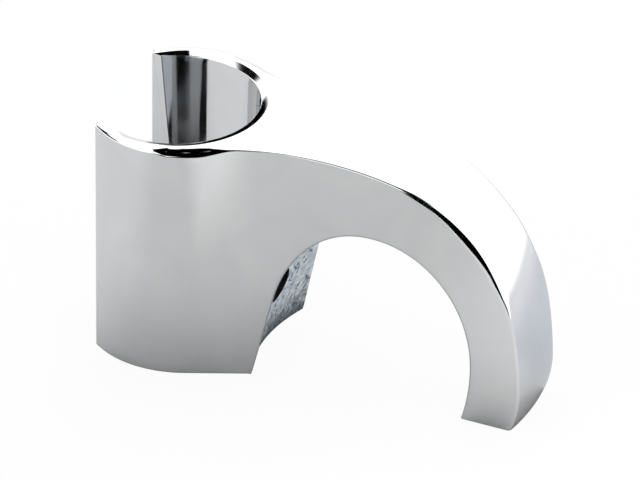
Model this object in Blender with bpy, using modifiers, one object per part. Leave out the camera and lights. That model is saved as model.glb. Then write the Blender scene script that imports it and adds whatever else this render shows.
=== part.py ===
"""Shower head holder: one polished casting with a slotted cone socket, an arched arm and a hook.

Units are metres, +Z is up. The arm runs along +X from the socket, and Y = 0 is the plane of symmetry.
The casting is worked out about the socket's axis, with the cup's base at height 0. It is then placed
so that the middle of its length and its lowest point are at the origin.
"""
import math

import bmesh
import bpy
from mathutils import Vector

MM = 0.001

# Socket for the cone of the hose nut, open on one side for the hose
BORE_TOP_DIAMETER = 24.0 * MM
BORE_BOTTOM_DIAMETER = 20.8 * MM
SLOT_WIDTH = 20.0 * MM
RIM_ROUNDING = 0.6 * MM

# Cup round the socket
CUP_HEIGHT = 36.85 * MM
CUP_WALL = 2.55 * MM
CUP_SHIFT = 1.4 * MM
CUP_DRAFT = math.radians(0.45)
TIP_REACH = 8.0 * MM
FLARE_ANGLE = math.radians(55)

# Fixing seat on the back of the cup, hollowed to suit a round body, with a countersunk screw hole
SEAT_WALL = 5.0 * MM
SEAT_WIDTH = 19.7 * MM
SEAT_LENGTH = 12.9 * MM
SEAT_LEAN = math.radians(13.2)
SADDLE_DEPTH = 1.8 * MM
HOLE_DIAMETER = 5.5 * MM
HOLE_HEIGHT = 9.5 * MM
COUNTERSINK_DIAMETER = 10.5 * MM

# Arched arm and hook
ARM_WIDTH = 14.6 * MM
ARM_NARROWING = 0.072
ARM_DEPTH = 11.85 * MM
CROWN_REACH = 16.4 * MM
ARCH_SPAN = 32.2 * MM
INNER_BULGE_HEIGHT = 6.9 * MM
OUTER_BULGE_HEIGHT = 3.8 * MM
HOOK_THICKNESS = 7.5 * MM
HOOK_DROP = 2.4 * MM
HOOK_TURN_BACK = 1.35 * MM
HOOK_END_TILT = math.radians(4)
HOOK_CROWN = 0.45 * MM

# Fullness of the curves: each handle as a share of the straight run that it spans
BROW_FULLNESS = (0.67, 0.81)
BLEND_FULLNESS = (0.51, 0.54)
ARCH_FULLNESS = (0.56, 0.55)

# How far along the brow the sections stand that start at the seat's top and at the arch's crown
SEAT_SHARE = 0.07
CROWN_SHARE = 0.3

# Rounded edges
OUTER_EDGE_RADIUS = 1.0 * MM
TIP_EDGE_RADIUS = 0.4 * MM
TIP_EASE = 6.0 * MM
INNER_EDGE_RADIUS = 0.35 * MM

# Number of steps in each stretch
CUP_STEPS = 30
FLANK_STEPS = 5
SEAT_STEPS = 4
BLEND_STEPS = 9
ARCH_STEPS = 16
HOOK_STEPS = 5
WALL_STEPS = 4
OUTER_EDGE_STEPS = 4
INNER_EDGE_STEPS = 2
SADDLE_STEPS = 8
CROWN_STEPS = 4
RIM_STEPS = 4
BORE_STEPS = 72
HOLE_STEPS = 32

# How far a cutter reaches past the face that it leaves by
PAST = 5.0 * MM
MERGE = 0.001 * MM

# Sizes that follow from the ones above
BORE_TOP_RADIUS = BORE_TOP_DIAMETER / 2
BORE_BOTTOM_RADIUS = BORE_BOTTOM_DIAMETER / 2
BORE_TAPER = (BORE_TOP_RADIUS - BORE_BOTTOM_RADIUS) / CUP_HEIGHT
CUP_TOP_RADIUS = BORE_TOP_RADIUS + CUP_WALL
CUP_BASE_RADIUS = CUP_TOP_RADIUS - CUP_HEIGHT * math.tan(CUP_DRAFT)
SEAT_X = BORE_BOTTOM_RADIUS + SEAT_WALL
CROWN_X = SEAT_X + CROWN_REACH
CROWN_Z = CUP_HEIGHT - ARM_DEPTH
HOOK_X = SEAT_X + ARCH_SPAN
HOOK_OUTER_X = HOOK_X + HOOK_THICKNESS
LENGTH_MIDDLE_X = (HOOK_OUTER_X + HOOK_CROWN - TIP_REACH) / 2


def cup_corner(radius, angle):
    """Edge point and wall normal on the cup's round side, at an angle from +X about the cup's centre."""
    normal = Vector((math.cos(angle), math.sin(angle)))
    return Vector((CUP_SHIFT, 0)) + normal * radius, normal


FLARE_START = cup_corner(CUP_TOP_RADIUS, FLARE_ANGLE)[0]


def arm_half_width(x):
    """Half width of the arm: a straight taper, plus a flare that dies away and is tangent to the cup."""
    def taper(at):
        return (ARM_WIDTH - ARM_NARROWING * (at - CROWN_X)) / 2
    excess = FLARE_START.y - taper(FLARE_START.x)
    fall = excess / (1 / math.tan(FLARE_ANGLE) - ARM_NARROWING / 2)
    return taper(x) + excess * math.exp((FLARE_START.x - x) / fall)


def lower_half_width(x):
    """Half width under the arm: the seat's width at its foot, easing to the arm's own width at the crown."""
    ease = max(0, (CROWN_X - x) / (CROWN_X - SEAT_X)) ** 3
    return arm_half_width(x) + (SEAT_WIDTH / 2 - arm_half_width(SEAT_X)) * ease


def wall_corner(half_width, x):
    """Edge point and wall normal in plan at x, on a side wall whose half width is a function of x."""
    step = 0.01 * MM
    slope = (half_width(x + step) - half_width(x - step)) / (2 * step)
    return Vector((x, half_width(x))), Vector((-slope, 1)).normalized()


def bezier(curve, t):
    """Point and direction at t on a cubic curve of start, two handles and end, in the XZ plane."""
    a, b, c, d = curve
    s = 1 - t
    point = a * s ** 3 + b * (3 * s * s * t) + c * (3 * s * t * t) + d * t ** 3
    direction = (b - a) * (s * s) + (c - b) * (2 * s * t) + (d - c) * (t * t)
    return point, direction.normalized()


def side_curves():
    """The seat, blend, arch and hook curves on the inner side, and the brow and hook on the outer side."""
    lean = Vector((math.sin(SEAT_LEAN), math.cos(SEAT_LEAN)))
    foot = Vector((SEAT_X, 0))
    seat_top = foot + lean * SEAT_LENGTH
    crown = Vector((CROWN_X, CROWN_Z))
    inner_bulge = Vector((HOOK_X, INNER_BULGE_HEIGHT))
    brow_start = Vector((SEAT_X, CUP_HEIGHT))
    outer_bulge = Vector((HOOK_OUTER_X, OUTER_BULGE_HEIGHT))
    outer_end = Vector((HOOK_OUTER_X - HOOK_TURN_BACK, -HOOK_DROP))
    inner_end = Vector((HOOK_X - HOOK_TURN_BACK, -HOOK_DROP + HOOK_THICKNESS * math.tan(HOOK_END_TILT)))
    rise = crown - seat_top
    fall = inner_bulge - crown
    brow = outer_bulge - brow_start
    return {
        "seat": (foot, foot.lerp(seat_top, 1 / 3), foot.lerp(seat_top, 2 / 3), seat_top),
        "blend": (seat_top, seat_top + lean * (rise.y * BLEND_FULLNESS[0]),
                  crown - Vector((rise.x * BLEND_FULLNESS[1], 0)), crown),
        "arch": (crown, crown + Vector((fall.x * ARCH_FULLNESS[0], 0)),
                 inner_bulge - Vector((0, fall.y * ARCH_FULLNESS[1])), inner_bulge),
        "inner_hook": hook_curve(inner_bulge, inner_end),
        "brow": (brow_start, brow_start + Vector((brow.x * BROW_FULLNESS[0], 0)),
                 outer_bulge - Vector((0, brow.y * BROW_FULLNESS[1])), outer_bulge),
        "outer_hook": hook_curve(outer_bulge, outer_end),
    }


def hook_curve(bulge, end):
    """The hook's last stretch: close to an arc that starts straight down and turns back under the arch."""
    run = bulge - end
    turn = 2 * math.atan2(run.x, run.y)
    third = run.length / 3
    return bulge, bulge - Vector((0, third)), end + Vector((math.sin(turn), math.cos(turn))) * third, end


class Station:
    """One cross-section: its two edges, and its shares of the seat's hollow and of the arm's crown."""

    def __init__(self, upper, lower, hollow, crown):
        self.upper = upper
        self.lower = lower
        self.hollow = hollow
        self.crown = crown


def smooth_step(share):
    """Ease from 0 to 1 with no jump in slope at either end."""
    share = min(max(share, 0), 1)
    return share * share * (3 - 2 * share)


def edge(plan, height, face_normal):
    """An edge of the section as its point, wall normal and face normal in space."""
    point, wall_normal = plan
    return (Vector((point.x, point.y, height)), Vector((wall_normal.x, wall_normal.y, 0)),
            Vector((face_normal[0], 0, face_normal[1])))


def cup_stations():
    """Sections from the far side of the cup round to the foot of the seat, upright and full height."""
    base_tangent = math.atan2(SEAT_WIDTH / 2, SEAT_X - CUP_SHIFT) + math.acos(
        CUP_BASE_RADIUS / math.hypot(SEAT_X - CUP_SHIFT, SEAT_WIDTH / 2))
    total = CUP_STEPS + FLANK_STEPS
    stations = []
    for k in range(CUP_STEPS + 1):
        share = k / CUP_STEPS
        top = cup_corner(CUP_TOP_RADIUS, math.pi + (FLARE_ANGLE - math.pi) * share)
        base = cup_corner(CUP_BASE_RADIUS, math.pi + (base_tangent - math.pi) * share)
        stations.append(Station(edge(top, CUP_HEIGHT, (0, 1)), edge(base, 0, (0, -1)), k / total, 0))
    base_start, base_normal = cup_corner(CUP_BASE_RADIUS, base_tangent)
    foot = Vector((SEAT_X, SEAT_WIDTH / 2))
    for k in range(1, FLANK_STEPS):
        share = k / FLANK_STEPS
        top = wall_corner(arm_half_width, FLARE_START.x + (SEAT_X - FLARE_START.x) * share)
        base = (base_start.lerp(foot, share), base_normal)
        hollow = (CUP_STEPS + k) / total
        stations.append(Station(edge(top, CUP_HEIGHT, (0, 1)), edge(base, 0, (0, -1)), hollow, 0))
    return stations


def arm_stations():
    """Sections from the foot of the seat up, over the arch and down past the hook's end."""
    curves = side_curves()
    stretches = (
        ("seat", "brow", 0, SEAT_SHARE, SEAT_STEPS),
        ("blend", "brow", SEAT_SHARE, CROWN_SHARE, BLEND_STEPS),
        ("arch", "brow", CROWN_SHARE, 1, ARCH_STEPS),
        ("inner_hook", "outer_hook", 0, 1, HOOK_STEPS),
    )
    stations = []
    for inner, outer, start, end, steps in stretches:
        for k in range(steps if inner != "inner_hook" else steps + 2):
            share = k / steps
            low, low_way = bezier(curves[inner], share)
            high, high_way = bezier(curves[outer], start + (end - start) * share)
            low_normal = Vector((low_way.y, -low_way.x))
            hollow = (max(0, low_normal.x) / math.cos(SEAT_LEAN)) ** 3 if low.x < CROWN_X else 0
            if not stations:
                low_normal = mitre(low_normal, Vector((0, -1)))
            stations.append(Station(
                edge(wall_corner(arm_half_width, high.x), high.y, (-high_way.y, high_way.x)),
                edge(wall_corner(lower_half_width, low.x), low.y, low_normal), hollow,
                smooth_step((high.x - SEAT_X) / (HOOK_X - SEAT_X))))
    return stations


def mitre(first, second):
    """The vector that stands out from a corner so that it lies at distance one from both of its faces."""
    return (first + second) / (1 + first.dot(second))


def rounded_corner(point, wall_normal, face_normal, radius, steps):
    """Points round a corner of the given radius, from the face to the wall."""
    centre = point - mitre(wall_normal, face_normal) * radius
    return [centre + face_normal.slerp(wall_normal, k / steps) * radius for k in range(steps + 1)]


def outer_edge_radius(x):
    """Radius of the upper edge's rounding, which is finer at the tips beside the slot."""
    return TIP_EDGE_RADIUS + (OUTER_EDGE_RADIUS - TIP_EDGE_RADIUS) * smooth_step((x + TIP_REACH) / TIP_EASE)


def section_loop(station):
    """Closed loop of points: down one wall, across the lower face, up the other wall and across the top."""
    point, wall_normal, face_normal = station.upper
    rise = 2 * HOOK_CROWN * station.crown
    crowned_normal = (face_normal * point.y + wall_normal * rise).normalized() if rise else face_normal
    down = rounded_corner(point, wall_normal, crowned_normal, outer_edge_radius(point.x), OUTER_EDGE_STEPS)
    low_point, low_wall, low_face = station.lower
    inner = rounded_corner(low_point, low_wall, low_face.normalized(), INNER_EDGE_RADIUS, INNER_EDGE_STEPS)
    wall = [down[-1].lerp(inner[-1], k / WALL_STEPS) for k in range(1, WALL_STEPS)]
    side = down + wall + inner[::-1]
    other = [Vector((p.x, -p.y, p.z)) for p in reversed(side)]
    hollow = Vector((-SADDLE_DEPTH * station.hollow, 0, 0))
    crown = face_normal * (HOOK_CROWN * station.crown * (side[0].y / point.y) ** 2)
    return side + bowed(side[-1], other[0], hollow, SADDLE_STEPS) + other + bowed(
        other[-1], side[0], crown, CROWN_STEPS)


def bowed(start, end, bow, steps):
    """Points between two ends of a line that is bowed by a given amount at its middle."""
    shares = [k / steps for k in range(1, steps)]
    return [start.lerp(end, s) + bow * (4 * s * (1 - s)) for s in shares]


def trim_hook(bm):
    """Cut the hook off flat at its end, and close the cut."""
    verts = {v for v in bm.verts if v.co.x > CROWN_X}
    edges = [e for e in bm.edges if verts.issuperset(e.verts)]
    faces = [f for f in bm.faces if verts.issuperset(f.verts)]
    cut = bmesh.ops.bisect_plane(
        bm, geom=list(verts) + edges + faces, clear_outer=True,
        plane_co=(HOOK_OUTER_X + HOOK_CROWN - HOOK_TURN_BACK, 0, -HOOK_DROP),
        plane_no=(-math.sin(HOOK_END_TILT), 0, -math.cos(HOOK_END_TILT)))
    bmesh.ops.edgeloop_fill(bm, edges=[e for e in cut["geom_cut"] if isinstance(e, bmesh.types.BMEdge)])


def casting_mesh():
    """The casting before it is bored: a loft through all the sections, cut off flat at the hook's end."""
    mesh = bpy.data.meshes.new("holder_body")
    bm = bmesh.new()
    loops = [[bm.verts.new(p) for p in section_loop(s)] for s in cup_stations() + arm_stations()]
    for first, second in zip(loops, loops[1:]):
        for k in range(len(first)):
            after = (k + 1) % len(first)
            bm.faces.new((first[k], first[after], second[after], second[k]))
    bmesh.ops.remove_doubles(bm, verts=bm.verts, dist=MERGE)
    bmesh.ops.dissolve_degenerate(bm, edges=bm.edges, dist=MERGE)
    trim_hook(bm)
    bmesh.ops.recalc_face_normals(bm, faces=bm.faces)
    bm.to_mesh(mesh)
    bm.free()
    return mesh


def turned_cutter(name, profile, steps, collection, parent):
    """A cutter turned about its own Z axis from a profile of (radius, height) points, top first."""
    mesh = bpy.data.meshes.new(name)
    mesh.from_pydata([(r, 0, z) for r, z in profile], [(k, k + 1) for k in range(len(profile) - 1)], [])
    cutter = bpy.data.objects.new(name, mesh)
    screw = cutter.modifiers.new("turn", "SCREW")
    screw.axis = "Z"
    screw.angle = math.tau
    screw.steps = steps
    screw.render_steps = steps
    screw.use_merge_vertices = True
    screw.merge_threshold = MERGE
    return as_cutter(cutter, collection, parent)


def as_cutter(cutter, collection, parent):
    """Keep a cutter out of the renders and show it as wire."""
    cutter.hide_render = True
    cutter.display_type = "WIRE"
    cutter.parent = parent
    collection.objects.link(cutter)
    return cutter


def bore_cutter(collection, parent):
    """The tapered socket, with its top and bottom rims rounded over."""
    angles = [math.pi / 2 * k / RIM_STEPS for k in range(RIM_STEPS + 1)]
    top_radius = BORE_TOP_RADIUS + RIM_ROUNDING
    bottom_radius = BORE_BOTTOM_RADIUS + RIM_ROUNDING
    top = [(top_radius - RIM_ROUNDING * math.sin(a), CUP_HEIGHT - RIM_ROUNDING * (1 - math.cos(a)))
           for a in angles]
    bottom = [(bottom_radius - RIM_ROUNDING * math.sin(a), RIM_ROUNDING * (1 - math.cos(a)))
              for a in reversed(angles)]
    profile = [(0, CUP_HEIGHT + PAST), (top_radius, CUP_HEIGHT + PAST)] + top
    profile += bottom + [(bottom_radius, -PAST), (0, -PAST)]
    return turned_cutter("bore_cutter", profile, BORE_STEPS, collection, parent)


def block_cutter(name, end, length, width, collection, parent):
    """A block as tall as the cup and more, whose +X face is at end."""
    mesh = bpy.data.meshes.new(name)
    bm = bmesh.new()
    bmesh.ops.create_cube(bm, size=1)
    bmesh.ops.scale(bm, verts=bm.verts, vec=(length, width, CUP_HEIGHT + 2 * PAST))
    bmesh.ops.translate(bm, verts=bm.verts, vec=(end - length / 2, 0, CUP_HEIGHT / 2))
    bm.to_mesh(mesh)
    bm.free()
    return as_cutter(bpy.data.objects.new(name, mesh), collection, parent)


def slot_cutter(collection, parent):
    """Opens the cup along its whole height, from the bore out past the tips."""
    return block_cutter("slot_cutter", 0, CUP_TOP_RADIUS + PAST, SLOT_WIDTH, collection, parent)


def tip_cutter(collection, parent):
    """Ends the two tips flat, square to the arm."""
    width = 2 * (CUP_TOP_RADIUS + PAST)
    return block_cutter("tip_cutter", -TIP_REACH, CUP_TOP_RADIUS, width, collection, parent)


def screw_hole_cutter(collection, parent):
    """The screw hole, square to the seat, with a cone for the screw's head that opens into the socket."""
    mouth_x = SEAT_X + HOLE_HEIGHT * math.tan(SEAT_LEAN) - SADDLE_DEPTH
    wall = (mouth_x - BORE_BOTTOM_RADIUS - BORE_TAPER * HOLE_HEIGHT) / (
        math.cos(SEAT_LEAN) + BORE_TAPER * math.sin(SEAT_LEAN))
    hole = HOLE_DIAMETER / 2
    head = COUNTERSINK_DIAMETER / 2
    profile = [(0, wall + PAST), (head, wall + PAST), (head, wall), (hole, wall - (head - hole)),
               (hole, -PAST), (0, -PAST)]
    cutter = turned_cutter("screw_hole_cutter", profile, HOLE_STEPS, collection, parent)
    cutter.location = (mouth_x, 0, HOLE_HEIGHT)
    cutter.rotation_euler = (0, -math.pi / 2 + SEAT_LEAN, 0)
    return cutter


def chrome():
    """Bright chrome plate."""
    material = bpy.data.materials.new("chrome_plate")
    material.use_nodes = True
    shader = material.node_tree.nodes["Principled BSDF"]
    shader.inputs["Base Color"].default_value = (0.78, 0.79, 0.80, 1)
    shader.inputs["Metallic"].default_value = 1
    shader.inputs["Roughness"].default_value = 0.07
    return material


def build():
    """Make the holder and its cutters."""
    for old in list(bpy.data.objects):
        bpy.data.objects.remove(old)
    parts = bpy.data.collections.new("shower_head_holder")
    cutters = bpy.data.collections.new("cutters")
    for collection in (parts, cutters):
        bpy.context.scene.collection.children.link(collection)

    frame = bpy.data.objects.new("socket_axis", None)
    frame.location = (-LENGTH_MIDDLE_X, 0, HOOK_DROP)
    parts.objects.link(frame)

    body = bpy.data.objects.new("holder_body", casting_mesh())
    body.parent = frame
    body.data.materials.append(chrome())
    parts.objects.link(body)
    for make_cutter in (bore_cutter, slot_cutter, tip_cutter, screw_hole_cutter):
        cutter = make_cutter(cutters, frame)
        cut = body.modifiers.new(cutter.name, "BOOLEAN")
        cut.operation = "DIFFERENCE"
        cut.solver = "EXACT"
        cut.object = cutter
    body.data.shade_smooth()
    body.data.set_sharp_from_angle(angle=math.radians(30))


build()
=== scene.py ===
"""Looks of the shower head holder: one polished, chrome-plated casting on a pale studio floor.

Shapes are worked out in millimetres in the holder's own axes: the socket's axis is X = Y = 0, the cup's
base is at Z = 0, the arm runs along +X, and Y = 0 is the plane of symmetry. The half with Y >= 0 is built
from patches that share their borders, mirrored, merged and then moved into the frame, in metres.
"""

import math

import bmesh
import bpy
import numpy as np
from mathutils import Matrix, Vector


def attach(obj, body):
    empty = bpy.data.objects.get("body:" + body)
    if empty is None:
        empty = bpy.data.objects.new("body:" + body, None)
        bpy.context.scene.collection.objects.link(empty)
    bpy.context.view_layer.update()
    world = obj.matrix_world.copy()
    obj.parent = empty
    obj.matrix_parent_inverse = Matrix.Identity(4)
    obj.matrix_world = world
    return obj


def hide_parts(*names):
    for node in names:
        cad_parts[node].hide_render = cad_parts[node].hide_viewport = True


METRES = 0.001

# Height of the cup and of the socket in it
CUP_HEIGHT = 36.85

# Socket for the cone of the hose nut, open on one side for the hose. Its rim is a bevel with a small arc at
# each side. The rim starts beside the slot at the tip share of its full size, and is full after the tip run,
# a share of the way from the slot to Y = 0.
BORE_TOP_RADIUS = 12.0
BORE_BOTTOM_RADIUS = 10.4
SLOT_HALF_WIDTH = 10.0
RIM_WIDTH = 1.1
RIM_LEAN = math.radians(13.5)
RIM_CORNERS = (0.12, 0.15)
RIM_TIP_SHARE = 0.56
RIM_TIP_RUN = 0.2
BORE_TAPER = (BORE_TOP_RADIUS - BORE_BOTTOM_RADIUS) / CUP_HEIGHT

# Cup round the socket
CUP_TOP_RADIUS = 14.55
CUP_SHIFT = 1.4
CUP_DRAFT = math.radians(0.45)
TIP_REACH = 8.0
TIP_CORNER = 0.25
TIP_SHOULDER = 0.5
FLARE_ANGLE = math.radians(55)

# Fixing seat on the back of the cup, hollowed to suit a round body, with a countersunk screw hole
SEAT_X = 15.4
SEAT_WIDTH = 19.7
SEAT_LENGTH = 12.9
SEAT_LEAN = math.radians(13.2)
SADDLE_DEPTH = 1.8
HOLE_RADIUS = 2.75
HOLE_HEIGHT = 9.5
COUNTERSINK_RADIUS = 5.25
CUTTER_OVERRUN = 5.0

# Arched arm and hook
ARM_WIDTH = 14.6
ARM_NARROWING = 0.072
CROWN_X = 31.8
CROWN_Z = 25.0
HOOK_X = 47.6
INNER_BULGE_HEIGHT = 6.9
OUTER_BULGE_HEIGHT = 3.8
HOOK_THICKNESS = 7.5
HOOK_DROP = 2.4
HOOK_TURN_BACK = 1.35
HOOK_END_TILT = math.radians(4)
HOOK_CROWN = 0.45
HOOK_OUTER_X = HOOK_X + HOOK_THICKNESS

# Fullness of the side curves: each handle as a share of the straight run that it spans
BROW_FULLNESS = (0.67, 0.81)
BLEND_FULLNESS = (0.51, 0.54)
ARCH_FULLNESS = (0.56, 0.55)

# How far along the outer side's curve, from 0 to 1, the rows over the seat's top and over the crown lie
SEAT_SHARE = 0.07
CROWN_SHARE = 0.3

# Roundings. The upper edge's radius, and the size of the flat that the polishing wheel left on it, are given
# at places along X. On the tips beside the slot the roundings start small, at a share of their size.
EDGE_ROUNDING_AT = (-8.0, -7.75, -4.0, 1.0, 4.0, 10.0, 14.0, 35.0, 42.0, 48.0, 51.5, 54.6, 60.0)
EDGE_ROUNDING = (0.22, 0.22, 0.5, 0.6, 0.35, 0.35, 0.15, 0.2, 0.9, 1.9, 1.6, 0.35, 0.35)
FACET_AT = (-8.0, 2.0, 4.4, 8.5, 12.8, 60.0)
FACET = (0.0, 0.0, 3.3, 3.3, 0.0, 0.0)
FACET_LEAN = math.radians(28)
FACET_SPREAD = math.radians(11)
INNER_ROUNDING = 0.35
TIP_ROUNDING_SHARE = 0.1
POLISHED_EDGE = 0.16
POLISHED_EDGE_STEPS = 3
POLISHED_EDGE_ANGLE = math.radians(45)
SHARP_ANGLE = math.radians(35)

# Rows and columns of the patches
TIP_ROWS = (8, 2, 6)
CUP_ROWS = 92
FLANK_ROWS = 20
SEAT_ROWS = 18
BLEND_ROWS = 36
ARCH_ROWS = 76
HOOK_ROWS = 26
WALL_COLUMNS = 30
EDGE_COLUMNS = 16
INNER_COLUMNS = 5
TOP_COLUMNS = 14
SADDLE_COLUMNS = 16
BORE_ROWS = 110
BORE_COLUMNS = 34
RIM_COLUMNS = 6
HOLE_SIDES = 96

# Step for the slope of an outline, in millimetres, and the distance in metres within which points are merged
SLOPE_STEP = 0.01
MERGE = 2e-6

# As-cast share, kept on the mesh, with heights in millimetres. It is 1 on the arm's inner side up to a
# height, on the seat and on the inside of the hook, and fades out above it. It is 2 in the screw hole, whose
# walls it marks for painted shade.
CAST_UP_TO = 12.5
CAST_FADE = 4.0
HOLE_CAST_AND_SHADE = 2.0

# Grain, which both finishes use: coarse and fine noise, each with its part in the mix
GRAIN_DETAIL = (3.0, 2.0)
GRAIN_DISTORTION = 0.4
GRAIN_MIX = (0.6, 0.4)
GRAIN_CONTRAST = (0.38, 0.62)
GRAIN_MIDDLE = 0.5

# Chrome plate: scales are cycles in a metre, heights are metres, and colours are linear
PLATE_LIGHT = (0.600, 0.608, 0.612, 1)
PLATE_DARK = (0.565, 0.577, 0.584, 1)
PLATE_ROUGHNESS = (0.045, 0.075)
PLATE_GRAIN = (260.0, 1900.0)
STREAK_SCALE = 95.0
STREAK_DETAIL = 3.0
STREAK_DISTORTION = 1.0
STREAK_CONTRAST = (0.3, 0.7)
RIPPLE_SCALE = 85.0
RIPPLE_DETAIL = 1.0
RIPPLE_HEIGHT = 0.00002

# Metal left as cast: grey with dark specks, darkened low down by painted shade, and with a wandering
# border to the plate
CAST_LIGHT = (0.71, 0.77, 0.79, 1)
CAST_DARK = (0.44, 0.50, 0.54, 1)
CAST_GRAIN = (900.0, 3800.0)
CAST_PIT_HEIGHT = 0.00012
CAST_ROUGHNESS = (0.5, 0.3)
CAST_METALLIC = 0.45
CAST_BORDER = (0.35, 0.6)
CAST_BORDER_WANDER = 0.9
SPECK_COLOUR = (0.08, 0.10, 0.12, 1)
SPECK_SCALE = 1150.0
SPECK_DETAIL = 4.0
SPECK_CUT = (0.55, 0.66)
# Painted shade: the cast metal is darkened towards the bottom, below these heights
CAST_PAINTED_SHADE_COLOUR = (0.05, 0.075, 0.09, 1)
CAST_PAINTED_SHADE_HEIGHT = (0.0058, 0.0132)
CAST_PAINTED_SHADE_WANDER = 0.009
# Painted shade: the screw hole's walls are coloured near black
HOLE_PAINTED_SHADE = (0.004, 0.004, 0.005, 1)
HOLE_SHADE_BORDER = (1.2, 1.8)

# Camera, as measured in the photo
CAMERA_AZIMUTH = math.radians(22.4)
CAMERA_ELEVATION = math.radians(31.4)
CAMERA_DISTANCE = 400.0
CAMERA_CLIP = (0.01, 20)
IMAGE_SIZE = (640, 480)
PIXELS_PER_MM = 7.048
SOCKET_PIXEL = (176.9, 319.6)

# Studio surroundings: the tent's light, and black cards in it. A card lies between its low and its high
# outline, made of points of (bearing, elevation): degrees round from the camera and degrees above the table.
TENT_LIGHT = 2.2
OVERHEAD_LOW = ((-180, 50), (-177.4, 50), (-176, 66), (-112, 73), (-46, 73), (-42, 44), (-27, 38), (-5, 36),
                (6, 44), (18, 54), (38, 60), (58, 69), (128, 70), (146, 66), (152, 52), (180, 50))
OVERHEAD_HIGH = ((-180, 90), (180, 90))
FRONT_LOW = ((-180, -27), (-44, -27), (-30, -22), (-12, -16), (18, -15), (53, -9), (180, -9))
FRONT_HIGH = ((-180, -31), (-44, -28), (-36, -16), (-28, -5), (-19, 10), (-10, 32), (6, 52), (18, 58),
              (21, -4), (38, -5), (53, -11), (180, -31))
ARC_LOW = ((-180, 48), (-166, 44), (-163, 38.5), (-142, 38), (-128, 34), (-112, 18), (-97, 3), (-82, -6),
           (-70, 5), (180, 5))
ARC_HIGH = ((-180, 30), (-166, 42), (-163, 49), (-142, 53), (-112, 48), (-97, 38), (-82, 22), (-70, 3),
            (180, -10))
BACK_LOW = ((-180, -18), (180, -18))
BACK_HIGH = ((-180, 7), (-178.5, 9), (-177, 14), (-172, 18), (-168, 23), (-163, 29), (-160, 20), (-156, -20),
             (160, -30), (174, -30), (177, 3), (180, 7))
HAZE_LOW = ((-180, -30), (180, -30))
HAZE_HIGH = ((-180, -34), (85, -34), (108, -9), (131, -6), (142, 4), (168, 12), (178, 12), (180, -34))

# Each card's low and high outline, the half width of its soft edge in degrees, and how dark it is
CARDS = ((OVERHEAD_LOW, OVERHEAD_HIGH, 2.5, 1.0), (FRONT_LOW, FRONT_HIGH, 2.5, 1.0),
         (ARC_LOW, ARC_HIGH, 2.0, 1.0), (BACK_LOW, BACK_HIGH, 3.0, 1.0), (HAZE_LOW, HAZE_HIGH, 3.0, 0.45))

# Narrow black card behind the slot's far tip, in metres in the frame's axes
BLACK_CARD_X = (-0.048, -0.032)
BLACK_CARD_Y = (0.0165, 0.042)
BLACK_CARD_TOP = 0.027
BLACK_CARD_COLOUR = (0.01, 0.01, 0.01, 1)

# Floor, in metres. Its tints, painted light and shade across the floor for the chrome to mirror, are laid
# one over
# another: an axis, where the tint starts, where it is full, and its colour. Its edge, where it turns quite
# white, is given in shares of its radius. Near the holder a painted contact shadow darkens it.
FLOOR_RADIUS = 0.13
FLOOR_SIDES = 128
FLOOR_GAP = 0.0001
FLOOR_COLOUR = (0.57, 0.57, 0.57, 1)
FLOOR_PAINTED_SHADES = (("X", 0.0, 0.025, (0.74, 0.74, 0.74, 1)), ("X", -0.030, -0.060, (0.645, 0.645, 0.65, 1)),
               ("Y", -0.005, 0.02, (0.56, 0.58, 0.62, 1)), ("X", 0.045, 0.085, (0.73, 0.72, 0.76, 1)))
FLOOR_WHITENING = 0.96
FLOOR_EDGE = (0.6, 0.98)
# Painted contact shadow: ambient occlusion darkens the floor's colour near the holder
FLOOR_PAINTED_SHADOW_REACH = 0.03
FLOOR_PAINTED_SHADOW_DEPTH = 1.1
FLOOR_PAINTED_SHADOW_SAMPLES = 8

# Soft light over the floor
TOP_LIGHT_PLACE = (-0.05, 0.25, 0.6)
TOP_LIGHT_SIZE = 0.5
TOP_LIGHT_POWER = 1.0

MIDDLE_X = (HOOK_OUTER_X + HOOK_CROWN - TIP_REACH) / 2
CUP_BASE_RADIUS = CUP_TOP_RADIUS - CUP_HEIGHT * math.tan(CUP_DRAFT)
FLARE_START = (CUP_SHIFT + CUP_TOP_RADIUS * math.cos(FLARE_ANGLE), CUP_TOP_RADIUS * math.sin(FLARE_ANGLE))
UP = np.array([0.0, 0.0, 1.0])
DOWN = -UP


def smooth_step(share):
    """3 s^2 - 2 s^3 on the share clipped to 0..1."""
    share = np.clip(share, 0, 1)
    return share * share * (3 - 2 * share)


def unit(vectors):
    """Each vector divided by its length."""
    return vectors / np.linalg.norm(vectors, axis=-1, keepdims=True)


def spread(values, count):
    """The values repeated as rows of a (count, n) array."""
    return np.broadcast_to(values, (count,) + np.shape(values)).copy()


def arm_half_width(x):
    """Taper plus a flare, a - b x + c exp((x0 - x) / f), tangent to the cup where the flare starts."""
    def taper(at):
        return (ARM_WIDTH - ARM_NARROWING * (at - CROWN_X)) / 2
    excess = FLARE_START[1] - taper(FLARE_START[0])
    fall = excess / (1 / math.tan(FLARE_ANGLE) - ARM_NARROWING / 2)
    return taper(x) + excess * np.exp((FLARE_START[0] - x) / fall)


def lower_half_width(x):
    """Arm's half width plus the seat's extra width times the cube of the share left to the crown."""
    ease = np.clip((CROWN_X - x) / (CROWN_X - SEAT_X), 0, None) ** 3
    return arm_half_width(x) + (SEAT_WIDTH / 2 - arm_half_width(SEAT_X)) * ease


def wall_edge(half_width, x, z):
    """Edge points (x, w(x), z) and wall normals (-w', 1, 0) made unit length."""
    slope = (half_width(x + SLOPE_STEP) - half_width(x - SLOPE_STEP)) / (2 * SLOPE_STEP)
    points = np.stack([x, half_width(x), z], axis=-1)
    return points, unit(np.stack([-slope, np.ones_like(x), np.zeros_like(x)], axis=-1))


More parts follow.
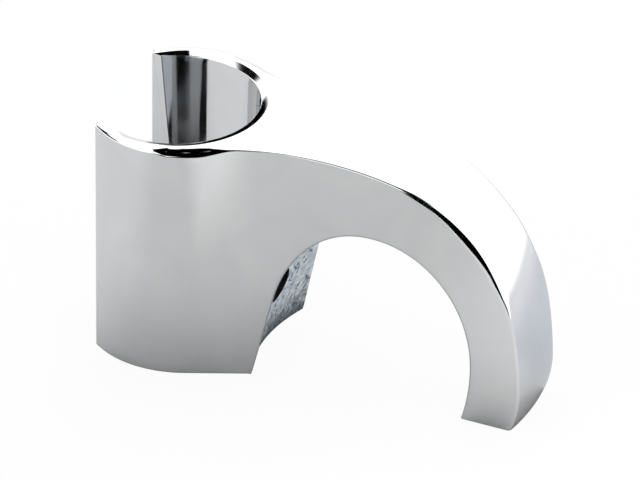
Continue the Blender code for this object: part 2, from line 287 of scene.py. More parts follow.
def bezier(curve, t):
    """Cubic Bezier in the XZ plane: a s^3 + 3 b s^2 t + 3 c s t^2 + d t^3, with its unit direction."""
    a, b, c, d = (np.array(p) for p in curve)
    t = t[:, None]
    s = 1 - t
    points = a * s ** 3 + 3 * b * s * s * t + 3 * c * s * t * t + d * t ** 3
    return points, unit((b - a) * s * s + 2 * (c - b) * s * t + (d - c) * t * t)


def hook_curve(bulge, end):
    """Close to an arc: it starts straight down, and its handles are a third of the chord."""
    run = bulge - end
    third = np.hypot(*run) / 3
    turn = 2 * math.atan2(run[0], run[1])
    return bulge, bulge - np.array([0, third]), end + np.array([math.sin(turn), math.cos(turn)]) * third, end


def side_curves():
    """The seat, blend, arch and hook curves on the inner side, and the brow and hook on the outer side."""
    lean = np.array([math.sin(SEAT_LEAN), math.cos(SEAT_LEAN)])
    foot = np.array([SEAT_X, 0])
    seat_top = foot + lean * SEAT_LENGTH
    crown = np.array([CROWN_X, CROWN_Z])
    inner_bulge = np.array([HOOK_X, INNER_BULGE_HEIGHT])
    brow_start = np.array([SEAT_X, CUP_HEIGHT])
    outer_bulge = np.array([HOOK_OUTER_X, OUTER_BULGE_HEIGHT])
    outer_end = np.array([HOOK_OUTER_X - HOOK_TURN_BACK, -HOOK_DROP])
    inner_end = np.array([HOOK_X - HOOK_TURN_BACK, -HOOK_DROP + HOOK_THICKNESS * math.tan(HOOK_END_TILT)])
    rise = crown - seat_top
    fall = inner_bulge - crown
    brow = outer_bulge - brow_start
    along, up = np.array([1, 0]), np.array([0, 1])
    return {
        "seat": (foot, foot + (seat_top - foot) / 3, foot + (seat_top - foot) * 2 / 3, seat_top),
        "blend": (seat_top, seat_top + lean * rise[1] * BLEND_FULLNESS[0],
                  crown - along * rise[0] * BLEND_FULLNESS[1], crown),
        "arch": (crown, crown + along * fall[0] * ARCH_FULLNESS[0],
                 inner_bulge - up * fall[1] * ARCH_FULLNESS[1], inner_bulge),
        "inner_hook": hook_curve(inner_bulge, inner_end),
        "brow": (brow_start, brow_start + along * brow[0] * BROW_FULLNESS[0],
                 outer_bulge - up * brow[1] * BROW_FULLNESS[1], outer_bulge),
        "outer_hook": hook_curve(outer_bulge, outer_end),
    }


def rounded(points, walls, faces, radius, columns, facet=0.0):
    """Rounding at each edge point, from the face to the wall.

    The normal turns evenly from the face's to the wall's, and each step is 2 r sin(turn / 2) along the
    tangent half way through it. A facet adds facet exp(-((angle - lean) / spread)^2) to r, which leaves a
    polished flat at that lean.
    """
    faces = unit(faces)
    cosine = (walls * faces).sum(axis=-1, keepdims=True)
    sweep = np.arccos(np.clip(cosine, -1, 1))
    across = (walls - faces * cosine) / np.sin(sweep)
    down = (walls * cosine - faces) / np.sin(sweep)
    angle = sweep * (np.arange(columns) + 0.5) / columns
    size = np.reshape(radius, (-1, 1)) + np.reshape(facet, (-1, 1)) * np.exp(
        -((angle - FACET_LEAN) / FACET_SPREAD) ** 2)
    tangents = across[:, None] * np.cos(angle)[..., None] - faces[:, None] * np.sin(angle)[..., None]
    steps = tangents * (2 * np.sin(sweep / columns / 2) * size)[..., None]
    path = np.concatenate([np.zeros_like(steps[:, :1]), np.cumsum(steps, axis=1)], axis=1)
    whole = path[:, -1]
    reach = (whole * (across - down * cosine)).sum(axis=-1, keepdims=True) / (1 - cosine ** 2)
    return (points - across * reach)[:, None] + path


def eased(x, places, values):
    """The values at the places, joined by smooth steps: v0 + (v1 - v0) smooth_step((x - x0) / (x1 - x0))."""
    places, values = np.array(places), np.array(values)
    left = np.clip(np.searchsorted(places, x, side="right") - 1, 0, len(places) - 2)
    share = smooth_step((x - places[left]) / (places[left + 1] - places[left]))
    return values[left] + (values[left + 1] - values[left]) * share


def edge_rounding(x):
    """Radius of the upper edge's rounding at a place along the holder."""
    return eased(x, EDGE_ROUNDING_AT, EDGE_ROUNDING)


def cup_plan(radius, end):
    """Plan points and wall normals from the slot, round the tip's two corners and on to an angle on the cup.

    Each round stretch is C + r (cos a, sin a). The shoulder's centre lies r inside both the tip and the cup.
    """
    corner = np.array([TIP_CORNER - TIP_REACH, SLOT_HALF_WIDTH + TIP_CORNER])
    shoulder_x = TIP_SHOULDER - TIP_REACH
    shoulder_y = math.sqrt((radius - TIP_SHOULDER) ** 2 - (CUP_SHIFT - shoulder_x) ** 2)
    shoulder = np.array([shoulder_x, shoulder_y])
    meeting = math.atan2(shoulder[1], shoulder[0] - CUP_SHIFT)
    stretches = ((corner, TIP_CORNER, 1.5 * math.pi, math.pi, TIP_ROWS[0]),
                 (shoulder, TIP_SHOULDER, math.pi, meeting, TIP_ROWS[2]),
                 (np.array([CUP_SHIFT, 0.0]), radius, meeting, end, CUP_ROWS))
    points, normals = [], []
    for centre, size, first, last, rows in stretches:
        angle = np.linspace(first, last, rows + 1)[:, None]
        normals.append(np.concatenate([np.cos(angle), np.sin(angle), 0 * angle], axis=1))
        points.append(np.append(centre, 0) + size * normals[-1])
    flat = np.linspace(points[0][-1], points[1][0], TIP_ROWS[1] + 1)[1:-1]
    points = [points[0], flat, points[1], points[2][1:]]
    normals = [normals[0], spread(normals[0][-1], len(flat)), normals[1], normals[2][1:]]
    return np.concatenate(points), np.concatenate(normals)


def cup_rows(base_end):
    """Upper and lower roundings of the cup from the slot to the flare, as two grids."""
    tip = np.linspace(TIP_ROUNDING_SHARE, 1, TIP_ROWS[0])
    points, walls = cup_plan(CUP_TOP_RADIUS, FLARE_ANGLE)
    radius = edge_rounding(points[:, 0])
    radius[:len(tip)] *= tip
    facet = eased(points[:, 0], FACET_AT, FACET)
    upper = rounded(points + UP * CUP_HEIGHT, walls, spread(UP, len(points)), radius, EDGE_COLUMNS, facet)
    points, walls = cup_plan(CUP_BASE_RADIUS, base_end)
    radius = np.full(len(points), INNER_ROUNDING)
    radius[:len(tip)] = tip * TIP_CORNER
    lower = rounded(points, walls, spread(DOWN, len(points)), radius, INNER_COLUMNS)
    return upper, lower[:, ::-1]


def flank_rows(base_end):
    """Roundings of the flank between the cup and the seat: the flare above, a straight line below."""
    share = np.linspace(0, 1, FLANK_ROWS + 1)[1:-1]
    x = FLARE_START[0] + (SEAT_X - FLARE_START[0]) * share
    points, walls = wall_edge(arm_half_width, x, np.full_like(x, CUP_HEIGHT))
    facet = eased(x, FACET_AT, FACET)
    upper = rounded(points, walls, spread(UP, len(x)), edge_rounding(x), EDGE_COLUMNS, facet)
    normal = np.array([math.cos(base_end), math.sin(base_end), 0])
    start = np.array([CUP_SHIFT, 0, 0]) + normal * CUP_BASE_RADIUS
    foot = np.array([SEAT_X, SEAT_WIDTH / 2, 0])
    points = start + (foot - start) * share[:, None]
    lower = rounded(points, spread(normal, len(x)), spread(DOWN, len(x)), INNER_ROUNDING, INNER_COLUMNS)
    return upper, lower[:, ::-1]


def arm_rows():
    """Roundings from the foot of the seat, up and over the arch and down to the hook's end.

    Also the share of the seat's hollow and of the arm's crown in each row, and the outer normals. The hollow
    runs out as the seat turns into the arch: it is the cube of the inner normal's X over its X on the seat.
    """
    curves = side_curves()
    stretches = (("seat", "brow", 0, SEAT_SHARE, SEAT_ROWS),
                 ("blend", "brow", SEAT_SHARE, CROWN_SHARE, BLEND_ROWS),
                 ("arch", "brow", CROWN_SHARE, 1, ARCH_ROWS),
                 ("inner_hook", "outer_hook", 0, 1, HOOK_ROWS))
    low, low_way, high, high_way = [], [], [], []
    for inner, outer, start, end, rows in stretches:
        share = np.linspace(0, 1, rows + 1)[:rows + (inner == "inner_hook")]
        for kept, found in zip((low, low_way), bezier(curves[inner], share)):
            kept.append(found)
        for kept, found in zip((high, high_way), bezier(curves[outer], start + (end - start) * share)):
            kept.append(found)
    low, low_way, high, high_way = (np.concatenate(part) for part in (low, low_way, high, high_way))
    flat = np.zeros(len(low))
    low_face = np.stack([low_way[:, 1], flat, -low_way[:, 0]], axis=-1)
    hollow = np.where(low[:, 0] < CROWN_X, (np.clip(low_face[:, 0], 0, None) / math.cos(SEAT_LEAN)) ** 3, 0)
    low_face[0] = unit(low_face[0] + DOWN)
    high_face = np.stack([-high_way[:, 1], flat, high_way[:, 0]], axis=-1)
    crown = smooth_step((high[:, 0] - SEAT_X) / (HOOK_X - SEAT_X))
    points, walls = wall_edge(arm_half_width, high[:, 0], high[:, 1])
    crowned = unit(high_face * points[:, 1:2] + walls * (2 * HOOK_CROWN * crown)[:, None])
    upper = rounded(points, walls, crowned, edge_rounding(high[:, 0]), EDGE_COLUMNS)
    crown = crown * (upper[:, 0, 1] / points[:, 1]) ** 2
    points, walls = wall_edge(lower_half_width, low[:, 0], low[:, 1])
    lower = rounded(points, walls, low_face, INNER_ROUNDING, INNER_COLUMNS)[:, ::-1]
    return upper, lower, hollow, crown, high_face


def bowed(edge, bow, columns):
    """Rows from each edge point in to Y = 0: E (1 - s) in Y, plus the bow times 1 - (1 - s)^2."""
    share = np.linspace(0, 1, columns + 1)[None, :, None]
    rows = edge[:, None] * np.array([1, 0, 1]) + edge[:, None] * np.array([0, 1, 0]) * (1 - share)
    return rows + bow[:, None] * (1 - (1 - share) ** 2)


def onto_end(rows):
    """The rows with the last one carried on along its own columns to the hook's tilted end face."""
    normal = np.array([math.sin(HOOK_END_TILT), 0, math.cos(HOOK_END_TILT)])
    origin = np.array([HOOK_OUTER_X + HOOK_CROWN - HOOK_TURN_BACK, 0, -HOOK_DROP])
    run = rows[-1] - rows[-2]
    reach = ((origin - rows[-1]) @ normal) / (run @ normal)
    rows[-1] += run * reach[:, None]
    return rows


def rim_profile():
    """The bevelled rim from the top face to the bore: how far out of the bore's edge, and how far down.

    Two arcs, of r (sin a, 1 - cos a) measured from each arc's own centre, joined by the straight bevel.
    """
    slope, outer, inner = RIM_LEAN, RIM_CORNERS[0], RIM_CORNERS[1]
    first = np.linspace(0, slope, RIM_COLUMNS + 1)
    second = np.linspace(slope, math.pi / 2, RIM_COLUMNS + 1)
    run = RIM_WIDTH - outer * math.sin(slope) - inner * (1 - math.sin(slope))
    drop = outer * (1 - math.cos(slope)) + run * math.tan(slope) + inner * math.cos(slope)
    out = np.concatenate([RIM_WIDTH - outer * np.sin(first), inner - inner * np.sin(second)])
    down = np.concatenate([outer * (1 - np.cos(first)), drop - inner * np.cos(second)])
    return out, down


def bore_patch():
    """The tapered socket, rim to rim: a profile of (radius, height) turned from the slot to Y = 0.

    Each point is r (cos a, sin a). The bevel keeps its lean, and its size eases down to its least beside the
    slot.
    """
    out, drop = rim_profile()
    turn = np.linspace(0, math.pi / 2, EDGE_COLUMNS + 1)
    down = np.linspace(0, 1, BORE_COLUMNS + 1)[1:-1]
    along = np.linspace(0, 1, BORE_ROWS + 1)[:, None]
    share = RIM_TIP_SHARE + (1 - RIM_TIP_SHARE) * smooth_step(along / RIM_TIP_RUN)
    top = CUP_HEIGHT - drop * share
    foot = spread(INNER_ROUNDING * (1 - np.sin(turn)), len(along))
    height = np.concatenate([top, top[:, -1:] + (INNER_ROUNDING - top[:, -1:]) * down, foot], axis=1)
    cone = BORE_BOTTOM_RADIUS + BORE_TAPER * height
    below = np.concatenate([np.zeros(len(out) + len(down)), INNER_ROUNDING * (1 - np.cos(turn))])
    bevel = np.concatenate([out, np.zeros(len(down) + len(turn))])
    radius = cone + below + bevel * share
    start = math.pi - np.arcsin(SLOT_HALF_WIDTH / radius[0])
    angle = start[None, :] * (1 - along)
    return np.stack([radius * np.cos(angle), radius * np.sin(angle), height], axis=-1)


def closed_mesh(name, points, faces, cast):
    """A mesh in metres in the frame's axes, with its borders merged and its faces turned outwards."""
    made = bpy.data.meshes.new(name)
    placed = (points + np.array([-MIDDLE_X, 0, HOOK_DROP])) * METRES
    made.from_pydata(placed.tolist(), [], faces)
    share = made.attributes.new("as_cast_and_hole_shade", "FLOAT", "CORNER")
    share.data.foreach_set("value", cast.astype(np.float32))
    bm = bmesh.new()
    bm.from_mesh(made)
    bmesh.ops.remove_doubles(bm, verts=bm.verts, dist=MERGE)
    bmesh.ops.recalc_face_normals(bm, faces=bm.faces)
    bm.to_mesh(made)
    bm.free()
    return made


class Shell:
    """Points, faces and the as-cast share of each face's corners, collected patch by patch."""

    def __init__(self):
        self.points = []
        self.faces = []
        self.cast = []
        self.count = 0

    def grid(self, points, cast=0.0):
        """Add a grid of points as quads. cast is the as-cast share, as one number or one for each row."""
        rows, columns = points.shape[:2]
        index = self.count + np.arange(rows * columns).reshape(rows, columns)
        corners = (index[:-1, :-1], index[1:, :-1], index[1:, 1:], index[:-1, 1:])
        shares = np.broadcast_to(np.reshape(cast, (-1, 1)), (rows, columns)).ravel()
        quads = np.stack(corners, axis=-1).reshape(-1, 4)
        self.points.append(points.reshape(-1, 3))
        self.faces += quads.tolist()
        self.cast.append(shares[quads - self.count].ravel())
        self.count += rows * columns

    def face(self, *runs):
        """Add one flat face whose border is the given runs of points, each starting where the last ended."""
        loop = np.concatenate([run[:-1] for run in runs])
        self.points.append(loop)
        self.faces.append(list(range(self.count, self.count + len(loop))))
        self.cast.append(np.zeros(len(loop)))
        self.count += len(loop)

    def mesh(self, name):
        """The half and its mirror image in Y as one mesh."""
        points = np.concatenate(self.points)
        cast = np.concatenate(self.cast)
        both = np.concatenate([points, points * np.array([1, -1, 1])])
        faces = self.faces + [[k + self.count for k in face] for face in self.faces]
        return closed_mesh(name, both, faces, np.concatenate([cast, cast]))


def casting():
    """The whole casting but its screw hole, from four curved patches and four flat faces for each half."""
    base_end = math.atan2(SEAT_WIDTH / 2, SEAT_X - CUP_SHIFT) + math.acos(
        CUP_BASE_RADIUS / math.hypot(SEAT_X - CUP_SHIFT, SEAT_WIDTH / 2))
    cup_upper, cup_lower = cup_rows(base_end)
    flank_upper, flank_lower = flank_rows(base_end)
    arm_upper, arm_lower, hollow, crown, high_face = arm_rows()
    upper = np.concatenate([cup_upper, flank_upper, arm_upper])
    lower = np.concatenate([cup_lower, flank_lower, arm_lower])
    down = np.linspace(0, 1, WALL_COLUMNS + 1)[1:-1][None, :, None]
    between = upper[:, -1:] + (lower[:, :1] - upper[:, -1:]) * down
    wall = onto_end(np.concatenate([upper, between, lower], axis=1))
    top = onto_end(bowed(arm_upper[:, 0], high_face * (HOOK_CROWN * crown)[:, None], TOP_COLUMNS))
    hollows = hollow[:, None] * np.array([-SADDLE_DEPTH, 0, 0])
    under = onto_end(bowed(arm_lower[:, -1], hollows, SADDLE_COLUMNS))
    bore = bore_patch()

    shell = Shell()
    shell.grid(wall)
    shell.grid(top)
    shell.grid(under, 1 - smooth_step((arm_lower[:, -1, 2] - CAST_UP_TO) / CAST_FADE))
    shell.grid(bore)
    foot = sum(TIP_ROWS) + CUP_ROWS + FLANK_ROWS
    shell.face(wall[:foot + 1, 0], top[0], np.array([top[0, -1], bore[-1, 0]]), bore[::-1, 0],
               np.array([bore[0, 0], wall[0, 0]]))
    shell.face(wall[:foot + 1, -1], under[0], np.array([under[0, -1], bore[-1, -1]]), bore[::-1, -1],
               np.array([bore[0, -1], wall[0, -1]]))
    shell.face(wall[0], np.array([wall[0, -1], bore[0, -1]]), bore[0, ::-1],
               np.array([bore[0, 0], wall[0, 0]]))
    shell.face(wall[-1], under[-1], np.array([under[-1, -1], top[-1, -1]]), top[-1, ::-1])
    return shell.mesh("polished_casting")


def turned(profile, sides):
    """A closed solid turned about Z from (radius, height) points: r cos a, r sin a, h, with flat ends."""
    angle = np.linspace(0, math.tau, sides, endpoint=False)[None, :]
    radius, height = (np.array(profile)[:, k:k + 1] for k in (0, 1))
    points = np.stack([radius * np.cos(angle), radius * np.sin(angle), height + 0 * angle], axis=-1)
    index = np.arange(points.shape[0] * sides).reshape(-1, sides)
    after = np.roll(index, -1, axis=1)
    quads = np.stack([index[:-1], index[1:], after[1:], after[:-1]], axis=-1).reshape(-1, 4)
    return points.reshape(-1, 3), quads.tolist() + [index[0].tolist(), index[-1, ::-1].tolist()]


def screw_hole():
    """A cutter square to the seat: the hole, and a cone for the screw's head that opens into the socket."""
    mouth_x = SEAT_X + HOLE_HEIGHT * math.tan(SEAT_LEAN) - SADDLE_DEPTH
    wall = (mouth_x - BORE_BOTTOM_RADIUS - BORE_TAPER * HOLE_HEIGHT) / (
        math.cos(SEAT_LEAN) + BORE_TAPER * math.sin(SEAT_LEAN))
    depth = COUNTERSINK_RADIUS - HOLE_RADIUS
    profile = [(HOLE_RADIUS, -CUTTER_OVERRUN), (HOLE_RADIUS, wall - depth), (COUNTERSINK_RADIUS, wall),
               (COUNTERSINK_RADIUS, wall + CUTTER_OVERRUN)]
    points, faces = turned(profile, HOLE_SIDES)
    axes = Matrix.Rotation(-math.pi / 2 + SEAT_LEAN, 3, "Y")
    placed = points @ np.array(axes.transposed()) + np.array([mouth_x, 0, HOLE_HEIGHT])
    cast = np.full(sum(len(face) for face in faces), HOLE_CAST_AND_SHADE)
    return closed_mesh("screw_hole", placed, faces, cast)


def linked(name, mesh):
    """A new object at the origin, in the scene."""
    made = bpy.data.objects.new(name, mesh)
    bpy.context.scene.collection.objects.link(made)
    return made


def settled(piece):
    """The piece with its modifiers applied."""
    graph = bpy.context.evaluated_depsgraph_get()
    mesh = bpy.data.meshes.new_from_object(piece.evaluated_get(graph))
    piece.modifiers.clear()
    piece.data = mesh
    return piece


def build_body(material):
    """The casting with its sharp edges eased and its screw hole cut."""
    body = linked("polished_casting", casting())
    body.data.materials.append(material)
    hole = linked("screw_hole", screw_hole())
    hole.data.materials.append(material)
    ease = body.modifiers.new("polished_edges", "BEVEL")
    ease.width = POLISHED_EDGE * METRES
    ease.segments = POLISHED_EDGE_STEPS
    ease.limit_method = "ANGLE"
    ease.angle_limit = POLISHED_EDGE_ANGLE
    cut = body.modifiers.new("screw_hole", "BOOLEAN")
    cut.operation = "DIFFERENCE"
    cut.solver = "EXACT"
    cut.object = hole
    settled(body)
    bpy.data.objects.remove(hole)
    body.data.shade_smooth()
    body.data.set_sharp_from_angle(angle=SHARP_ANGLE)
    normals = body.modifiers.new("face_weighted_normals", "WEIGHTED_NORMAL")
    normals.keep_sharp = True
    return settled(body)


class Nodes:
    """Adds nodes to one tree. Each input is a value, or another node's output."""

    def __init__(self, tree):
        self.tree = tree

    def add(self, kind, inputs, **settings):
        """A new node with its settings made and its inputs, named or numbered, filled or linked."""
        made = self.tree.nodes.new(kind)
        for name, value in settings.items():
            setattr(made, name, value)
        for place, value in inputs.items():
            if isinstance(value, bpy.types.NodeSocket):
                self.tree.links.new(value, made.inputs[place])
            else:
                made.inputs[place].default_value = value
        return made

    def math(self, operation, *values):
        """One Math node's result."""
        return self.add("ShaderNodeMath", dict(enumerate(values)), operation=operation).outputs[0]

    def noise(self, place, scale, detail, distortion=0.0):
        """Noise in 0..1 on a position in metres; the scale counts cycles in a metre."""
        inputs = {"Vector": place, "Scale": scale, "Detail": detail, "Distortion": distortion}
        return self.add("ShaderNodeTexNoise", inputs).outputs["Fac"]

    def ease(self, value, low, high, first=0.0, last=1.0):
        """Smooth step of the value from first, at or below low, to last, at or above high."""
        inputs = {"Value": value, "From Min": low, "From Max": high, "To Min": first, "To Max": last}
        return self.add("ShaderNodeMapRange", inputs, interpolation_type="SMOOTHSTEP").outputs["Result"]

    def blend(self, share, first, last):
        """Colour first (1 - share) + last share. A Mix node's colours are inputs 6 and 7 and output 2."""
        return self.add("ShaderNodeMix", {0: share, 6: first, 7: last}, data_type="RGBA").outputs[2]


def grain_group():
    """Uneven grain: coarse pits plus fine grit, as a height for a bump and, with contrast, as a mask."""
    tree = bpy.data.node_groups.new("grain", "ShaderNodeTree")
    tree.interface.new_socket("Place", in_out="INPUT", socket_type="NodeSocketVector")
    for name in ("Coarse", "Fine"):
        tree.interface.new_socket(name, in_out="INPUT", socket_type="NodeSocketFloat")
    for name in ("Mask", "Height"):
        tree.interface.new_socket(name, in_out="OUTPUT", socket_type="NodeSocketFloat")
    nodes = Nodes(tree)
    given = nodes.add("NodeGroupInput", {})
    place = given.outputs["Place"]
    coarse = nodes.noise(place, given.outputs["Coarse"], GRAIN_DETAIL[0], GRAIN_DISTORTION)
    fine = nodes.noise(place, given.outputs["Fine"], GRAIN_DETAIL[1])
    height = nodes.math("MULTIPLY_ADD", fine, GRAIN_MIX[1], nodes.math("MULTIPLY", coarse, GRAIN_MIX[0]))
    mask = nodes.ease(height, *GRAIN_CONTRAST)
    nodes.add("NodeGroupOutput", {"Mask": mask, "Height": height})
    return tree


def chrome():
    """Bright chrome plate with a faint polishing ripple, and metal left as cast by the as-cast share."""
    material = bpy.data.materials.new("chrome_plate")
    material.use_nodes = True
    nodes = Nodes(material.node_tree)
    shader = material.node_tree.nodes["Principled BSDF"]
    place = nodes.add("ShaderNodeTexCoord", {}).outputs["Object"]
    grain = grain_group()
    given = ({"Place": place, "Coarse": coarse, "Fine": fine} for coarse, fine in (CAST_GRAIN, PLATE_GRAIN))
    cast_grain, plate_grain = (
        nodes.add("ShaderNodeGroup", inputs, node_tree=grain).outputs for inputs in given)
    drawn = nodes.add("ShaderNodeAttribute", {}, attribute_name="as_cast_and_hole_shade").outputs["Fac"]
    wander = nodes.math("SUBTRACT", cast_grain["Height"], GRAIN_MIDDLE)
    cast = nodes.ease(nodes.math("MULTIPLY_ADD", wander, CAST_BORDER_WANDER, drawn), *CAST_BORDER)

    streaks = nodes.noise(place, STREAK_SCALE, STREAK_DETAIL, STREAK_DISTORTION)
    plate_colour = nodes.blend(nodes.ease(streaks, *STREAK_CONTRAST), PLATE_DARK, PLATE_LIGHT)
    plate_rough = nodes.ease(plate_grain["Mask"], 0.0, 1.0, *PLATE_ROUGHNESS)

    specks = nodes.ease(nodes.noise(place, SPECK_SCALE, SPECK_DETAIL), *SPECK_CUT)
    rise = nodes.add("ShaderNodeSeparateXYZ", {"Vector": place}).outputs["Z"]
    # Painted shade: the cast metal turns darker towards the bottom
    unshaded_share = nodes.ease(nodes.math("MULTIPLY_ADD", cast_grain["Height"], CAST_PAINTED_SHADE_WANDER, rise), *CAST_PAINTED_SHADE_HEIGHT)
    cast_colour = nodes.blend(cast_grain["Mask"], CAST_DARK, CAST_LIGHT)
    cast_colour = nodes.blend(specks, cast_colour, SPECK_COLOUR)
    cast_colour = nodes.blend(unshaded_share, CAST_PAINTED_SHADE_COLOUR, cast_colour)
    # Painted shade: near black in the screw hole
    cast_colour = nodes.blend(nodes.ease(drawn, *HOLE_SHADE_BORDER), cast_colour, HOLE_PAINTED_SHADE)
    cast_rough = nodes.ease(cast_grain["Mask"], 0.0, 1.0, *CAST_ROUGHNESS)

    ripple = nodes.math("MULTIPLY", nodes.noise(place, RIPPLE_SCALE, RIPPLE_DETAIL), RIPPLE_HEIGHT)
    pits = nodes.math("MULTIPLY", nodes.math("MULTIPLY", cast_grain["Height"], cast), CAST_PIT_HEIGHT)
    bump = nodes.add("ShaderNodeBump", {"Height": nodes.math("ADD", ripple, pits), "Distance": 1.0})
    links = {
        "Base Color": nodes.blend(cast, plate_colour, cast_colour),
        "Metallic": nodes.ease(cast, 0.0, 1.0, 1.0, CAST_METALLIC),
        "Roughness": nodes.math("ADD", plate_rough, nodes.math("MULTIPLY", cast, cast_rough)),
        "Normal": bump.outputs["Normal"],
    }
    for name, value in links.items():
        material.node_tree.links.new(value, shader.inputs[name])
    return material


def camera():
    """A very long lens, as an orthographic camera that puts the cup's base centre on its measured pixel."""
    a, e = CAMERA_AZIMUTH, CAMERA_ELEVATION
    right = Vector((math.cos(a), math.sin(a), 0))
    back = Vector((math.sin(a) * math.cos(e), -math.cos(a) * math.cos(e), math.sin(e)))
    up = back.cross(right)
    across = (IMAGE_SIZE[0] / 2 - SOCKET_PIXEL[0]) / PIXELS_PER_MM
    rise = (SOCKET_PIXEL[1] - IMAGE_SIZE[1] / 2) / PIXELS_PER_MM
    data = bpy.data.cameras.new("camera")
    data.type = "ORTHO"
    data.ortho_scale = IMAGE_SIZE[0] / PIXELS_PER_MM * METRES
    data.clip_start, data.clip_end = CAMERA_CLIP
    made = linked("camera", data)
    socket = Vector((-MIDDLE_X, 0, HOOK_DROP))
    made.location = (socket + right * across + up * rise + back * CAMERA_DISTANCE) * METRES
    made.rotation_euler = back.to_track_quat("Z", "Y").to_euler()
    bpy.context.scene.camera = made


def bearing_curve(nodes, bearing, points):
    """Elevation in degrees at a bearing in degrees: straight runs between the given points.

    The curve works in 0..1: a bearing b goes in as b / 360 + 1 / 2, and a result v stands for 180 v - 90.
    """
    made = nodes.add("ShaderNodeFloatCurve", {"Value": nodes.math("MULTIPLY_ADD", bearing, 1 / 360, 0.5)})
    curve = made.mapping.curves[0]
    while len(curve.points) < len(points):
        curve.points.new(0.5, 0.5)
    for kept, (at, height) in zip(curve.points, points):
        kept.location = (at / 360 + 0.5, height / 180 + 0.5)
        kept.handle_type = "VECTOR"
    made.mapping.update()
    return nodes.math("MULTIPLY_ADD", made.outputs[0], 180, -90)


def surroundings():
    """A white tent with black cards in it, all given by bearing and elevation seen from the holder.

    A card is dark between its low and its high outline, with soft edges. Only reflections and light see
    the cards: behind the holder the camera sees plain white.
    """
    world = bpy.data.worlds.new("studio")
    bpy.context.scene.world = world
    world.use_nodes = True
    nodes = Nodes(world.node_tree)
    way = nodes.add("ShaderNodeTexCoord", {}).outputs["Generated"]
    turned_way = nodes.add("ShaderNodeVectorRotate", {"Vector": way, "Angle": math.pi / 2 - CAMERA_AZIMUTH},
                           rotation_type="Z_AXIS").outputs[0]
    parts = nodes.add("ShaderNodeSeparateXYZ", {"Vector": turned_way}).outputs
    bearing = nodes.math("DEGREES", nodes.math("ARCTAN2", parts["Y"], parts["X"]))
    height = nodes.math("DEGREES", nodes.math("ARCSINE", parts["Z"]))
    light = TENT_LIGHT
    for low, high, softness, depth in CARDS:
        above = bearing_curve(nodes, bearing, low)
        below = bearing_curve(nodes, bearing, high)
        over = nodes.ease(nodes.math("SUBTRACT", height, above), -softness, softness)
        under = nodes.ease(nodes.math("SUBTRACT", below, height), -softness, softness)
        dark = nodes.math("MULTIPLY", nodes.math("MULTIPLY", over, under), depth)
        light = nodes.math("MULTIPLY", light, nodes.math("SUBTRACT", 1.0, dark))
    seen = nodes.add("ShaderNodeLightPath", {}).outputs["Is Camera Ray"]
    shown = nodes.add("ShaderNodeMix", {"Factor": seen, "A": light, "B": 1.0})
    world.node_tree.links.new(shown.outputs[0], world.node_tree.nodes["Background"].inputs["Strength"])
    world.node_tree.nodes["Background"].inputs["Color"].default_value = (1, 1, 1, 1)


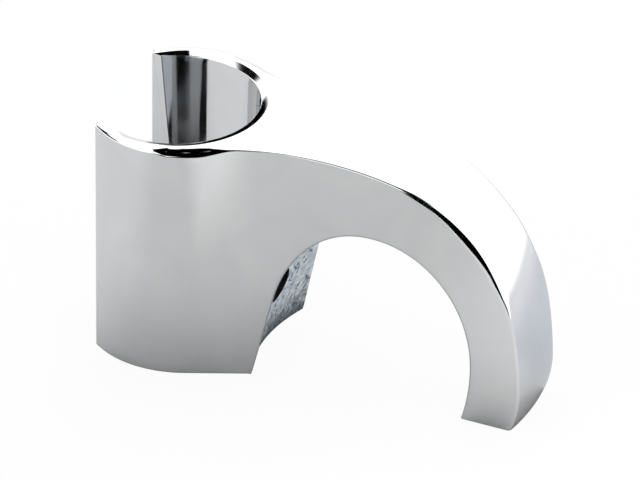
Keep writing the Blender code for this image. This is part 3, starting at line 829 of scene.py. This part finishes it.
def floor():
    """A pale table top with the border R (cos a, sin a), with painted light and shade so that the chrome
    mirrors varied greys.

    The camera sees it almost pure white, with only a trace of shadow, and quite white at its edge. Near the
    holder its colour is darkened by ambient occlusion, a painted contact shadow.
    """
    turn = np.linspace(0, math.tau, FLOOR_SIDES, endpoint=False)
    level = np.full_like(turn, -FLOOR_GAP)
    ring = np.stack([FLOOR_RADIUS * np.cos(turn), FLOOR_RADIUS * np.sin(turn), level], axis=-1)
    mesh = bpy.data.meshes.new("floor")
    mesh.from_pydata(ring.tolist(), [], [list(range(FLOOR_SIDES))])
    made = linked("floor", mesh)
    material = bpy.data.materials.new("pale_floor")
    material.use_nodes = True
    nodes = Nodes(material.node_tree)
    place = nodes.add("ShaderNodeTexCoord", {}).outputs["Object"]
    parts = nodes.add("ShaderNodeSeparateXYZ", {"Vector": place}).outputs
    # Painted light and shade: the floor's grey is lightened and darkened by position
    floor_shading = FLOOR_COLOUR
    for axis, start, full, shading_colour in FLOOR_PAINTED_SHADES:
        floor_shading = nodes.blend(nodes.ease(parts[axis], start, full), floor_shading, shading_colour)
    # Painted contact shadow: ambient occlusion darkens the floor's colour near the holder
    near = nodes.add("ShaderNodeAmbientOcclusion", {"Distance": FLOOR_PAINTED_SHADOW_REACH}, samples=FLOOR_PAINTED_SHADOW_SAMPLES)
    lit = nodes.math("POWER", near.outputs["AO"], FLOOR_PAINTED_SHADOW_DEPTH)
    matt = nodes.add("ShaderNodeBsdfDiffuse", {"Color": nodes.blend(lit, (0, 0, 0, 1), floor_shading)})
    glow = nodes.add("ShaderNodeEmission", {"Color": (1, 1, 1, 1), "Strength": 1.0})
    away = nodes.add("ShaderNodeVectorMath", {0: place}, operation="LENGTH").outputs["Value"]
    inner, outer = (FLOOR_RADIUS * share for share in FLOOR_EDGE)
    white = nodes.ease(away, inner, outer, FLOOR_WHITENING, 1.0)
    seen = nodes.add("ShaderNodeLightPath", {}).outputs["Is Camera Ray"]
    mix = {0: nodes.math("MULTIPLY", seen, white), 1: matt.outputs[0], 2: glow.outputs[0]}
    shown = nodes.add("ShaderNodeMixShader", mix)
    target = material.node_tree.nodes["Material Output"].inputs["Surface"]
    material.node_tree.links.new(shown.outputs[0], target)
    mesh.materials.append(material)


def black_card():
    """A narrow black card, lying behind the slot's far tip and then bent up. Only reflections see it."""
    (left, right), (near, far), top = BLACK_CARD_X, BLACK_CARD_Y, BLACK_CARD_TOP
    mesh = bpy.data.meshes.new("black_card")
    rows = [(near, FLOOR_GAP), (far, FLOOR_GAP), (far, top)]
    points = [(x, y, z) for y, z in rows for x in (left, right)]
    mesh.from_pydata(points, [], [(0, 1, 3, 2), (2, 3, 5, 4)])
    made = linked("black_card", mesh)
    material = bpy.data.materials.new("black_card")
    material.use_nodes = True
    shader = material.node_tree.nodes["Principled BSDF"]
    shader.inputs["Base Color"].default_value = BLACK_CARD_COLOUR
    shader.inputs["Roughness"].default_value = 1
    shader.inputs["Specular IOR Level"].default_value = 0
    mesh.materials.append(material)
    for kind in ("camera", "diffuse", "shadow", "transmission", "volume_scatter"):
        setattr(made, f"visible_{kind}", False)


def top_light():
    """A broad soft light behind and above. It lights the table but isn't mirrored in the chrome."""
    data = bpy.data.lights.new("top_light", "AREA")
    data.shape = "DISK"
    data.size = TOP_LIGHT_SIZE
    data.energy = TOP_LIGHT_POWER
    made = linked("top_light", data)
    made.location = TOP_LIGHT_PLACE
    made.rotation_euler = Vector(TOP_LIGHT_PLACE).to_track_quat("Z", "Y").to_euler()
    made.visible_glossy = False


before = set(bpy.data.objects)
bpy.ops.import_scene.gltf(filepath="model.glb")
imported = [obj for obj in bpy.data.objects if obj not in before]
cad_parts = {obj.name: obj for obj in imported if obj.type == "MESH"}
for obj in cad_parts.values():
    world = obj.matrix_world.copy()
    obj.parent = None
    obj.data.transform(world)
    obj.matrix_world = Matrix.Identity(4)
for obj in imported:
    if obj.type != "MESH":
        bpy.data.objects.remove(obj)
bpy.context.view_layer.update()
body = build_body(chrome())
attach(body, "root")
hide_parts("holder_body")
camera()
floor()
black_card()
top_light()
surroundings()
bpy.context.scene.view_settings.view_transform = "Standard"
